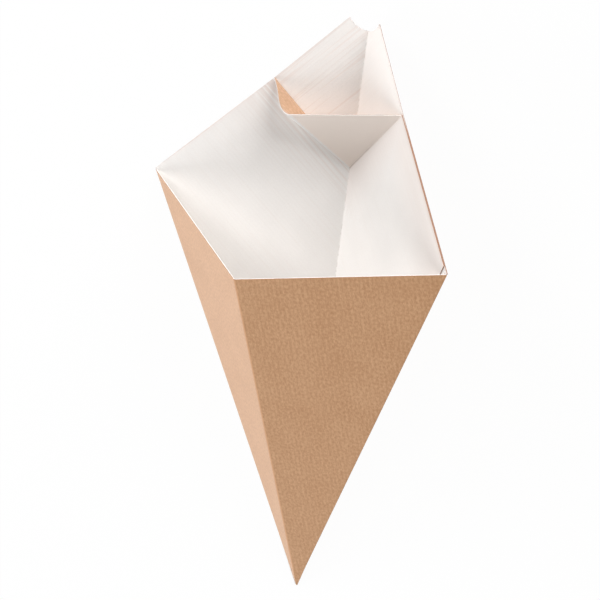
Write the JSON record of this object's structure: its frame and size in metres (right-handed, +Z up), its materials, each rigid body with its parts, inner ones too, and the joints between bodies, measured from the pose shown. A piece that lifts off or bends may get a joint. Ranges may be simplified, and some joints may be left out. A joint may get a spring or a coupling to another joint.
{
  "type": "fries cone",
  "caption": "Folded card cone for fries with four flat sides, a pointed tip, a low front lip and a tall notched back with a small sauce pocket behind a divider.",
  "frame": {"origin": "under the middle of the part's box, on the surface that it lies on", "axes": "+Z up from the left back panel that it lies on, +Y from the tip towards the mouth along the cone's axis seen from above, +X towards the right corner"},
  "size_m": [0.1424, 0.26, 0.065],
  "materials": {
    "card": "uncoated brown kraft liner outside, matt white liner inside, fine flutes showing through both"
  },
  "bodies": {
    "root": {"folded_cone": "card"}
  },
  "joints": []
}
